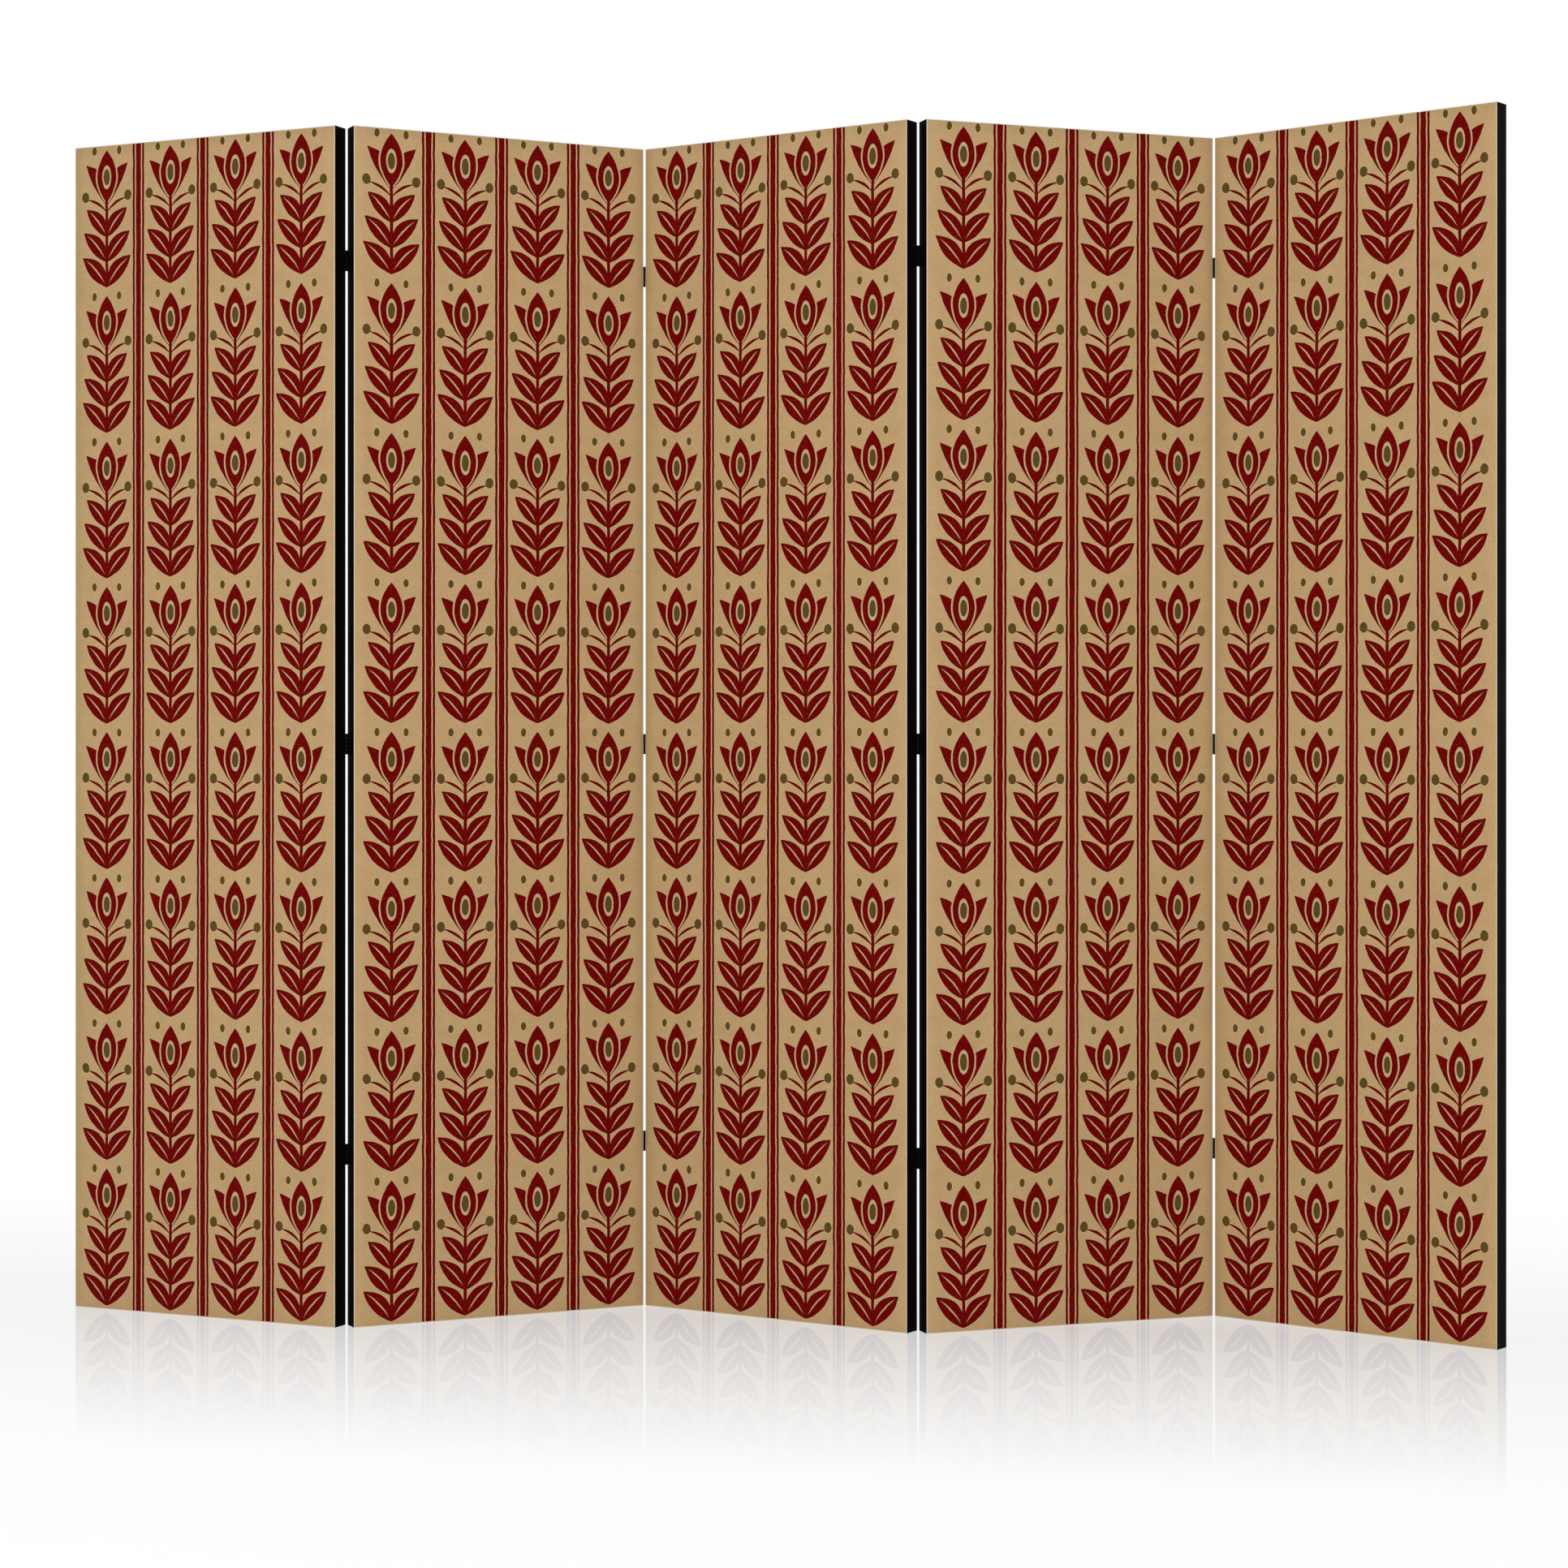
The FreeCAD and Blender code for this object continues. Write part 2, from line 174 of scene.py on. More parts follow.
class Shader:
    """A material in the making: its node tree, its surface shader and short ways to add to them."""

    def __init__(self, name: str) -> None:
        """Starts an empty material with one Principled shader."""
        self.material = bpy.data.materials.new(name)
        self.material.use_nodes = True
        self.tree = self.material.node_tree
        self.surface = self.tree.nodes["Principled BSDF"]

    def plug(self, value: Paint | Field | float, socket: NodeSocket) -> None:
        """Links or sets an input.

        Args:
            value: A field or socket to link, or a screen colour or number to set.
            socket: The input.
        """
        if isinstance(value, Field):
            self.tree.links.new(value.socket, socket)
        elif isinstance(value, NodeSocket):
            self.tree.links.new(value, socket)
        elif isinstance(value, str):
            socket.default_value = linear(value)
        else:
            socket.default_value = value

    def map_place(self, name: str) -> NodeSocket:
        """The place on a named surface map."""
        node = self.tree.nodes.new("ShaderNodeUVMap")
        node.uv_map = name
        return node.outputs["UV"]

    def body_place(self, turn: float = 0.0, scale: Sequence[float] = (1, 1, 1)) -> NodeSocket:
        """The place in the piece's own space, turned about the upright and stretched.

        Args:
            turn: The angle about the upright, in radians.
            scale: The stretch of each direction, after the turn.

        Returns:
            The turned and stretched place.
        """
        place = self.tree.nodes.new("ShaderNodeTexCoord").outputs["Object"]
        turned = self.tree.nodes.new("ShaderNodeVectorRotate")
        turned.rotation_type = "Z_AXIS"
        turned.inputs["Angle"].default_value = turn
        self.tree.links.new(place, turned.inputs["Vector"])
        stretched = self.tree.nodes.new("ShaderNodeVectorMath")
        stretched.operation = "MULTIPLY"
        self.tree.links.new(turned.outputs["Vector"], stretched.inputs[0])
        stretched.inputs[1].default_value = scale
        return stretched.outputs["Vector"]

    def parts(self, vector: NodeSocket) -> tuple[Field, Field]:
        """The first two parts of a vector."""
        node = self.tree.nodes.new("ShaderNodeSeparateXYZ")
        self.tree.links.new(vector, node.inputs["Vector"])
        return Field(self.tree, node.outputs["X"]), Field(self.tree, node.outputs["Y"])

    def noise(self, vector: NodeSocket, scale: float, detail: float) -> Node:
        """Adds a noise texture.

        Args:
            vector: The place.
            scale: How fine it is.
            detail: How broken it is.

        Returns:
            The texture's node.
        """
        node = self.tree.nodes.new("ShaderNodeTexNoise")
        self.tree.links.new(vector, node.inputs["Vector"])
        node.inputs["Scale"].default_value = scale
        node.inputs["Detail"].default_value = detail
        return node

    def mix(self, share: Field, below: Paint, above: Paint) -> NodeSocket:
        """One colour laid over another.

        Args:
            share: How much of the upper colour shows, from 0 to 1.
            below: The lower colour.
            above: The upper colour.

        Returns:
            The mixed colour.
        """
        node = self.tree.nodes.new("ShaderNodeMix")
        node.data_type = "RGBA"
        factor, lower, upper = node.inputs[0], node.inputs[6], node.inputs[7]
        self.plug(share, factor)
        self.plug(below, lower)
        self.plug(above, upper)
        return node.outputs[2]

    def emboss(self, height: Field, reach: float) -> None:
        """Bumps the surface.

        Args:
            height: The height, from 0 to 1.
            reach: What 1 stands for, in metres.
        """
        node = self.tree.nodes.new("ShaderNodeBump")
        node.inputs["Distance"].default_value = reach
        self.plug(height, node.inputs["Height"])
        self.plug(node.outputs["Normal"], self.surface.inputs["Normal"])

    def set(self, **values: Paint | Field | float) -> None:
        """Sets or links inputs of the surface shader, with spaces in their names as underscores."""
        for name, value in values.items():
            self.plug(value, self.surface.inputs[name.replace("_", " ")])


@dataclass(frozen=True)
class Mottle:
    """Uneven marks on a surface: how fine and how broken, where they set in and how strongly they show."""

    scale: float
    detail: float
    start: float = 0.0
    end: float = 1.0
    strength: float = 1.0

    def grain(self, shader: Shader, place: NodeSocket) -> Field:
        """The noise that the marks come from, from 0 to 1 around one half."""
        return Field(shader.tree, shader.noise(place, self.scale, self.detail).outputs["Fac"])

    def shown(self, grain: Field) -> Field:
        """How strongly the marks show, given their noise."""
        return grain.ramp(self.start, self.end) * self.strength

    def marks(self, shader: Shader, place: NodeSocket) -> Field:
        """How strongly the marks show at a place."""
        return self.shown(self.grain(shader, place))


def plain_weave(x: Field, y: Field, pitch: float) -> Field:
    """The height, from 0 to 1, of a plain weave whose threads lie a pitch apart."""
    turn = math.pi / pitch
    return (x * turn).sine() * (y * turn).sine() * 0.5 + 0.5


@dataclass(frozen=True)
class Leaf:
    """A pointed leaf of the print, in millimetres and degrees, drawn from its base on the stem's line."""

    rise: float
    lean: float
    length: float
    half_width: float
    bow: float = 0.0
    rib_end: float = 0.45

    def axes(self, x: Field, y: Field) -> tuple[Field, Field]:
        """The place in the leaf's own directions.

        Args:
            x: The place across from the stem.
            y: The place up the sprig.

        Returns:
            How far it lies from the leaf's bowed middle line, and how much of its full width the leaf has.
        """
        lean = math.radians(self.lean)
        up = y - self.rise
        share = (x * math.sin(lean) + up * math.cos(lean)) * (1 / self.length)
        arch = share * (1.0 - share) * 4.0
        aside = abs(x * math.cos(lean) - up * math.sin(lean) - arch * self.bow)
        return aside, arch

    def outline(self, x: Field, y: Field) -> Field:
        """The leaf's outline, below 0 inside it."""
        aside, arch = self.axes(x, y)
        return aside - arch * self.half_width

    def ribbed(self, x: Field, y: Field, rib: float) -> Field:
        """The leaf's outline with a slim rib left open along its middle.

        Args:
            x: The place across from the stem.
            y: The place up the sprig.
            rib: Half the width of the rib at its broadest.

        Returns:
            The outline, below 0 inside it.
        """
        aside, arch = self.axes(x, y)
        opening = aside - (arch - self.rib_end) * (rib / (1.0 - self.rib_end))
        return (aside - arch * self.half_width).most(0.0 - opening)


@dataclass(frozen=True)
class Oval:
    """An upright oval of the print, in millimetres."""

    aside: float
    rise: float
    half_width: float
    half_height: float

    def outline(self, x: Field, y: Field) -> Field:
        """The oval's outline, below 0 inside it."""
        across = (x - self.aside) * (1 / self.half_width)
        up = (y - self.rise) * (1 / self.half_height)
        return ((across * across + up * up).root() - 1.0) * self.half_width


@dataclass(frozen=True)
class SprigPrint:
    """A block print of tulip sprigs in straight columns, with stripes between them, in millimetres."""

    panel_width: float
    panel_height: float
    columns: int = 4
    rows: int = 8
    stripe: float = 4.4
    side_stripe: float = 1.9
    side_stripe_in: float = 8.2
    bare_edge: float = 20.0
    stem: float = 2.6
    stem_foot: float = 6.0
    stem_top: float = 150.0
    petal_gap: float = 2.4
    rib: float = 1.1
    leaves: tuple[Leaf, ...] = (
        Leaf(rise=5, lean=43, length=63, half_width=12.6, bow=-4.0),
        Leaf(rise=42, lean=42, length=61, half_width=12.2, bow=-4.0),
        Leaf(rise=79, lean=40, length=56, half_width=11.4, bow=-4.0),
    )
    stalk: Leaf = Leaf(rise=116, lean=60, length=42, half_width=2.2, bow=-4.0)
    side_petal: Leaf = Leaf(rise=126, lean=31, length=72, half_width=11.6, bow=-7.0)
    middle_petal: Leaf = Leaf(rise=130, lean=0, length=78, half_width=17.0)
    heart: Oval = Oval(aside=0.0, rise=168, half_width=5.4, half_height=12.0)
    berry: Oval = Oval(aside=37.5, rise=140, half_width=6.2, half_height=7.6)
    seed: Oval = Oval(aside=22.0, rise=207, half_width=4.0, half_height=6.0)

    def stripes(self, x: Field, aside: Field) -> Field:
        """The stripes between columns, which the panel's own edges go without.

        Args:
            x: The place across the panel.
            aside: The distance from the middle of the column.

        Returns:
            Their outline, below 0 inside it.
        """
        from_edge = self.panel_width / self.columns / 2 - aside
        lines = (from_edge - self.stripe).least(abs(from_edge - self.side_stripe_in) - self.side_stripe)
        return lines.most(x.outside(self.bare_edge, self.panel_width - self.bare_edge))

    def outlines(self, x: Field, y: Field) -> tuple[Field, Field]:
        """Draws the print.

        Args:
            x: The place across the panel.
            y: The place up the panel.

        Returns:
            The outlines of the main and the second ink, below 0 inside them.
        """
        column = self.panel_width / self.columns
        aside = abs(x.wrapped(column) - column / 2)
        up = y.wrapped(self.panel_height / self.rows)
        stem = (aside - self.stem).most(up.outside(self.stem_foot, self.stem_top))
        main = self.stripes(x, aside).least(stem)
        for leaf in self.leaves:
            main = main.least(leaf.ribbed(aside, up, self.rib))
        main = main.least(self.stalk.outline(aside, up))
        heart = self.heart.outline(aside, up)
        middle = self.middle_petal.outline(aside, up)
        side = self.side_petal.outline(aside, up).most(self.petal_gap - middle)
        main = main.least(side).least(middle.most(self.petal_gap - heart))
        second = heart.least(self.berry.outline(aside, up)).least(self.seed.outline(aside, up))
        return main, second


@dataclass(frozen=True)
class PrintedCanvas:
    """Canvas printed with two inks on a tan ground."""

    design: SprigPrint
    ground: str = "B5976D"
    ground_speck: str = "86693F"
    ground_halo: str = "C6AA82"
    main_ink: str = "600000"
    main_rim: str = "4A0000"
    main_fleck: str = "93362A"
    second_ink: str = "54431F"
    second_rim: str = "3A2D12"
    bare_canvas: str = BARE_CANVAS
    specks: Mottle = Mottle(scale=0.38, detail=3.0, start=0.55, end=0.72, strength=0.7)
    shades: Mottle = Mottle(scale=0.035, detail=4.0, start=0.3, end=0.75, strength=0.22)
    flecks: Mottle = Mottle(scale=0.42, detail=3.0, start=0.57, end=0.72, strength=0.6)
    trim_margin: float = 0.9
    sway: float = 1.7
    sway_scale: float = 0.05
    quiver: float = 0.7
    quiver_scale: float = 0.17
    soft_edge: float = 0.3
    rim: float = 1.2
    halo: float = 1.6
    halo_strength: float = 0.6
    thread_pitch: float = CANVAS_PITCH
    weave_reach: float = 0.00006
    slub: Mottle = Mottle(scale=0.9, detail=1.0)
    slub_share: float = 0.3
    roughness: float = 0.84
    weave_roughness: float = 0.05
    ink_smoothness: float = 0.08
    gloss: float = 0.06

    def place(self, shader: Shader) -> tuple[Field, Field, NodeSocket]:
        """Where the print falls, swayed a little as a hand-cut block prints.

        Args:
            shader: The material in the making.

        Returns:
            The swayed place across and up, and the true place, all in millimetres.
        """
        true = shader.map_place(PRINT_MAP)
        x, y = shader.parts(true)
        for reach, scale in ((self.sway, self.sway_scale), (self.quiver, self.quiver_scale)):
            sway_x, sway_y = shader.parts(shader.noise(true, scale, 1.0).outputs["Color"])
            x = x + (sway_x - 0.5) * reach
            y = y + (sway_y - 0.5) * reach
        return x, y, true

    def lay(self, shader: Shader, outline: Field, below: Paint, ink: Paint, rim: Paint) -> NodeSocket:
        """Lays one ink, with its own colour along its rim, over the colour below."""
        edged = shader.mix(outline.ramp(-self.rim, 0.0), ink, rim)
        return shader.mix(outline.ramp(self.soft_edge, -self.soft_edge), below, edged)

    def trim(self, x: Field, y: Field) -> Field:
        """The bare line along the cut edges, from 0 to 1."""
        beyond = x.outside(0.0, self.design.panel_width).most(y.outside(0.0, self.design.panel_height))
        return beyond.ramp(-self.trim_margin - self.soft_edge, self.soft_edge - self.trim_margin)

    def material(self, name: str) -> Material:
        """Makes the print's material.

        Args:
            name: The material's name.

        Returns:
            The material.
        """
        shader = Shader(name)
        x, y, true = self.place(shader)
        main, second = self.design.outlines(x, y)
        uneven = self.specks.marks(shader, true).most(self.shades.marks(shader, true))
        ground = shader.mix(uneven, self.ground, self.ground_speck)
        glow = main.least(second).ramp(self.halo, 0.0) * self.halo_strength
        ground = shader.mix(glow, ground, self.ground_halo)
        main_ink = shader.mix(self.flecks.marks(shader, true), self.main_ink, self.main_fleck)
        colour = self.lay(shader, main, ground, main_ink, self.main_rim)
        colour = self.lay(shader, second, colour, self.second_ink, self.second_rim)
        true_x, true_y = shader.parts(true)
        colour = shader.mix(self.trim(true_x, true_y), colour, self.bare_canvas)
        weave = plain_weave(true_x, true_y, self.thread_pitch)
        slub = self.slub.grain(shader, true)
        inked = main.ramp(self.soft_edge, -self.soft_edge)
        shader.set(Base_Color=colour, Specular_IOR_Level=self.gloss)
        shader.set(Roughness=inked * -self.ink_smoothness + weave * self.weave_roughness + self.roughness)
        shader.emboss(weave.mixed(slub, self.slub_share), self.weave_reach)
        return shader.material


@dataclass(frozen=True)
class MarkedFinish:
    """A plain finish with uneven marks of a second colour, which roughen it, and a grit if it has one."""

    ground: str
    marked: str
    marks: Mottle
    reach: float
    roughness: float
    mark_roughness: float
    gloss: float = 0.5
    metallic: float = 0.0
    grit: Mottle | None = None
    grit_share: float = 0.6

    def material(self, name: str) -> Material:
        """Makes the material.

        Args:
            name: The material's name.

        Returns:
            The material.
        """
        shader = Shader(name)
        place = shader.body_place()
        marks = self.marks.grain(shader, place)
        grit = self.grit.grain(shader, place) if self.grit else marks
        shader.set(Base_Color=shader.mix(self.marks.shown(marks), self.ground, self.marked))
        shader.set(Roughness=marks * self.mark_roughness + self.roughness)
        shader.set(Specular_IOR_Level=self.gloss, Metallic=self.metallic)
        shader.emboss(marks.mixed(grit, self.grit_share), self.reach)
        return shader.material


# Unprinted canvas, seen at the cut edges.
CUT_CANVAS = MarkedFinish(
    ground="B9A68F",
    marked=BARE_CANVAS,
    marks=Mottle(scale=1 / (CANVAS_PITCH * MM), detail=1.0, start=0.35, end=0.65),
    reach=0.00008,
    roughness=0.85,
    mark_roughness=0.1,
    gloss=0.2,
)
# Steel with a thin satin black coat.
BLACK_STEEL = MarkedFinish(
    ground="040404",
    marked="141312",
    marks=Mottle(scale=260.0, detail=4.0, start=0.5, end=0.78),
    reach=0.00002,
    roughness=0.4,
    mark_roughness=0.22,
    gloss=0.08,
    grit=Mottle(scale=2400.0, detail=1.0),
)
# Bright zinc on steel wire.
STAPLE_STEEL = MarkedFinish(
    ground="8F8E8A",
    marked="C9C8C4",
    marks=Mottle(scale=1500.0, detail=3.0, start=0.35, end=0.7),
    reach=0.00002,
    roughness=0.22,
    mark_roughness=0.25,
    metallic=1.0,
)


@dataclass(frozen=True)
class BlackCloth:
    """Thin black lining cloth with an open plain weave, with painted show-through shade: darker over the
    timber and a little paler where no timber lies behind it.
    """

    openings: Sequence[Sequence[float]]
    # colour is the cloth painted darker over the timber, and thin is the cloth painted paler over the
    # openings: painted show-through shade, not dye
    colour: str = "121214"
    thin: str = "1F1F22"
    # Colour of real dust and of the painted highlight on the weave's thread crowns.
    dust_and_highlight_colour: str = "2A2A2E"
    shadow_edge: float = 2.5
    thread_pitch: float = 1.1
    # How strongly the weave's thread crowns are painted paler: a painted highlight.
    thread_highlight: float = 0.4
    weave_reach: float = 0.00012
    dust: Mottle = Mottle(scale=0.02, detail=4.0, start=0.35, end=0.8, strength=0.4)
    slub: Mottle = Mottle(scale=0.6, detail=2.0)
    slub_share: float = 0.25
    roughness: float = 0.84
    slub_roughness: float = 0.12
    gloss: float = 0.16
    sheen: float = 0.08
    sheen_roughness: float = 0.5

    def painted_show_through(self, x: Field, y: Field) -> Field:
        """How far a place lies over one of the frame's two openings, from 0 to 1, which sets the painted
        show-through shade.
        """
        lower, upper = (x.outside(*span[:2]).most(y.outside(*span[2:])) for span in self.openings)
        return lower.least(upper).ramp(self.shadow_edge, -self.shadow_edge)

    def material(self, name: str) -> Material:
        """Makes the lining cloth's material.

        Args:
            name: The material's name.

        Returns:
            The material.
        """
        shader = Shader(name)
        place = shader.map_place(PRINT_MAP)
        x, y = shader.parts(place)
        weave = plain_weave(x, y, self.thread_pitch)
        slub = self.slub.grain(shader, place)
        # Painted highlight on the thread crowns, plus real dust.
        dust_and_highlight = weave * self.thread_highlight + self.dust.marks(shader, place)
        # Painted show-through shade: darker over the timber, paler over the openings.
        ground = shader.mix(self.painted_show_through(x, y), self.colour, self.thin)
        shader.set(Base_Color=shader.mix(dust_and_highlight, ground, self.dust_and_highlight_colour))
        shader.set(Roughness=slub * self.slub_roughness + self.roughness, Specular_IOR_Level=self.gloss)
        shader.set(Sheen_Weight=self.sheen, Sheen_Roughness=self.sheen_roughness)
        shader.emboss(weave.mixed(slub, self.slub_share), self.weave_reach)
        return shader.material


class Grain(Enum):
    """The way a bar's grain runs, as stretches along the panel, through it and up it."""

    UPRIGHT = (GRAIN_ACROSS, GRAIN_ACROSS, GRAIN_ALONG)
    LEVEL = (GRAIN_ALONG, GRAIN_ACROSS, GRAIN_ACROSS)


@dataclass(frozen=True)
class BlackPaint:
    """Matt black paint on planed softwood, whose grain shows faintly through it."""

    colour: str = "020202"
    thin: str = "0B0A09"
    streaks: Mottle = Mottle(scale=1.0, detail=4.0, start=0.42, end=0.72)
    peel: Mottle = Mottle(scale=900.0, detail=2.0)
    patches: Mottle = Mottle(scale=14.0, detail=3.0)
    peel_share: float = 0.3
    grain_reach: float = 0.00007
    roughness: float = 0.5
    patch_roughness: float = 0.2
    streak_roughness: float = 0.12
    gloss: float = 0.03

    def material(self, name: str, grain: Grain, turn: float) -> Material:
        """Makes the paint for the bars of one panel that run one way.

        Args:
            name: The material's name.
            grain: The way the grain runs.
            turn: The panel's turn, as its slab gives it.

        Returns:
            The material.
        """
        shader = Shader(name)
        streaks = self.streaks.grain(shader, shader.body_place(turn, grain.value))
        place = shader.body_place(turn)
        peel = self.peel.grain(shader, place)
        patches = self.patches.grain(shader, place)
        shader.set(Base_Color=shader.mix(self.streaks.shown(streaks), self.colour, self.thin))
        uneven = patches * self.patch_roughness + streaks * self.streak_roughness
        shader.set(Roughness=uneven + self.roughness, Specular_IOR_Level=self.gloss)
        shader.emboss(streaks.mixed(peel, self.peel_share), self.grain_reach)
        return shader.material


def extent(places: Sequence[Vector]) -> tuple[Vector, Vector]:
    """The lowest and the highest coordinates of some places."""
    low, high = (Vector(pick(place[axis] for place in places) for axis in range(3)) for pick in (min, max))
    return low, high


@dataclass(frozen=True)
class Slab:
    """Where a flat piece stands: its low front left corner, its directions and its size in metres."""

    corner: Vector
    along: Vector
    inward: Vector
    width: float
    depth: float
    height: float

    @classmethod
    def of_node(cls, node: str) -> "Slab":
        """Reads a slab from a flat CAD node, whose broadest face gives the way through it.

        Args:
            node: The node's name.

        Returns:
            The slab.
        """
        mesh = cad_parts[node].data
        broadest = max(mesh.polygons, key=lambda face: face.area)
        inward = broadest.normal if broadest.normal.y > 0 else -broadest.normal
        inward = Vector((inward.x, inward.y, 0.0)).normalized()
        through_origin = cls(Vector(), inward.cross(UP), inward, 0.0, 0.0, 0.0)
        low, high = through_origin.reach(node)
        return cls(through_origin.point(*low), through_origin.along, inward, *(high - low))

    @property
    def turn(self) -> float:
        """The angle about the upright that brings the slab's width to X, in radians."""
        return -math.atan2(self.along.y, self.along.x)

    def point(self, x: float, y: float, z: float) -> Vector:
        """The place of a point given along, through and up the slab."""
        return self.corner + self.along * x + self.inward * y + UP * z

    def local(self, place: Vector) -> Vector:
        """A place as distances along, through and up the slab."""
        away = place - self.corner
        return Vector((away.dot(self.along), away.dot(self.inward), away.z))

    def reach(self, node: str) -> tuple[Vector, Vector]:
        """The lowest and highest distances of a CAD node along, through and up the slab."""
        return extent([self.local(vertex.co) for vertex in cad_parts[node].data.vertices])


def loose_parts(node: str) -> list[list[Vector]]:
    """Sorts a CAD node's points into its separate solids.

    Args:
        node: The node's name.

    Returns:
        The points of each solid.
    """
    work = bmesh.new()
    work.from_mesh(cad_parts[node].data)
    bmesh.ops.remove_doubles(work, verts=work.verts, dist=SAME_POINT)
    left = set(work.verts)
    solids = []
    while left:
        edge_of_search = [left.pop()]
        solid = []
        while edge_of_search:
            vertex = edge_of_search.pop()
            solid.append(vertex.co.copy())
            for edge in vertex.link_edges:
                other = edge.other_vert(vertex)
                if other in left:
                    left.remove(other)
                    edge_of_search.append(other)
        solids.append(solid)
    work.free()
    return solids


def middle_of(points: Sequence[Vector]) -> Vector:
    """The middle of some points."""
    return sum(points, Vector()) / len(points)


def band(upper: Sequence[BMVert], lower: Sequence[BMVert]) -> Iterator[tuple[BMVert, ...]]:
    """The corners of each face that joins two rings of as many points."""
    for start in range(len(upper)):
        end = (start + 1) % len(upper)
        yield upper[start], upper[end], lower[end], lower[start]


def add_piece(name: str, work: BMesh, materials: Sequence[Material]) -> Object:
    """Makes a piece from a finished mesh.

    Args:
        name: The piece's name.
        work: The mesh, which is freed.
        materials: Its materials, in the order of its faces' indices.

    Returns:
        The piece, linked to the scene.
    """
    bmesh.ops.recalc_face_normals(work, faces=work.faces)
    mesh = bpy.data.meshes.new(name)
    work.to_mesh(mesh)
    work.free()
    for material in materials:
        mesh.materials.append(material)
    piece = bpy.data.objects.new(name, mesh)
    bpy.context.scene.collection.objects.link(piece)
    return piece


def paint_node(node: str, material: Material) -> None:
    """Gives a CAD node a finish."""
    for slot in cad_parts[node].material_slots:
        slot.material = material
    log.info("finished %s with %s", node, material.name)


